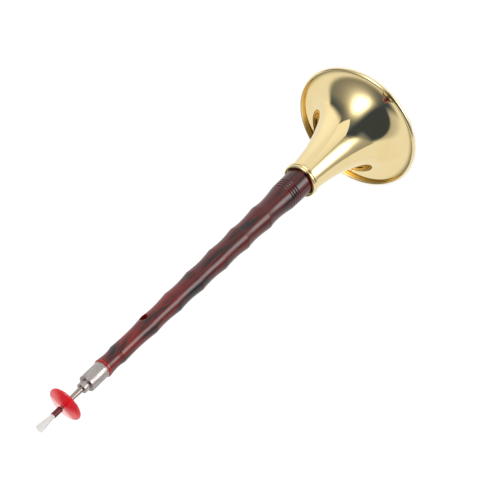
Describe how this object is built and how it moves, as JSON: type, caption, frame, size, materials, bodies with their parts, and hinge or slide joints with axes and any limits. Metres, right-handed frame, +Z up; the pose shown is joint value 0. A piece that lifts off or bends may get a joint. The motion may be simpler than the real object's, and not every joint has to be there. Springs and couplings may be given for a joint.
{
  "type": "suona",
  "caption": "Suona: conical double-reed horn with a ridged hardwood pipe, a loose flared brass bell, a sliding metal core, a lip disc and a reed.",
  "frame": {"origin": "centre of the bell's mouth, in the plane that its rim stands on", "axes": "+Z up along the bore from the bell's mouth to the reed, -Y towards the front finger holes, +Y towards the thumb hole"},
  "size_m": [0.115, 0.115, 0.395],
  "materials": {
    "bell_brass": "polished and lacquered, mirror bright",
    "rosewood": "turned, dark red-brown with black streaks, glossy lacquer",
    "satin_aluminium": "turned, satin",
    "tube_brass": "drawn tube, plain",
    "cork": "fine-grained cork, sanded",
    "nickel": "nickel-plated brass, bright",
    "red_plastic": "moulded, glossy, slightly translucent",
    "reed_plastic": "off-white, translucent",
    "maroon_plastic": "shrunk tube, glossy"
  },
  "bodies": {
    "pipe": {"pipe": "rosewood", "socket_cap": "satin_aluminium", "socket_lining": "tube_brass"},
    "bell": {"bell": "bell_brass", "bell_collar": "bell_brass"},
    "core": {"core_barrel": "satin_aluminium", "core_cork": "cork", "staple": "nickel"},
    "lip_disc": {"lip_disc": "red_plastic"},
    "reed": {"reed": "reed_plastic", "reed_sleeve": "maroon_plastic"}
  },
  "joints": [
    {"name": "bell_slide", "type": "slide", "parent": "pipe", "child": "bell", "axis": [0, 0, 1], "range_m": [0, 0.27]},
    {"name": "core_slide", "type": "slide", "parent": "pipe", "child": "core", "axis": [0, 0, 1], "range_m": [-0.004, 0.01]},
    {"name": "lip_disc_slide", "type": "slide", "parent": "core", "child": "lip_disc", "axis": [0, 0, 1], "range_m": [0, 0.0016]},
    {"name": "reed_slide", "type": "slide", "parent": "core", "child": "reed", "axis": [0, 0, 1], "range_m": [0, 0.018]}
  ]
}
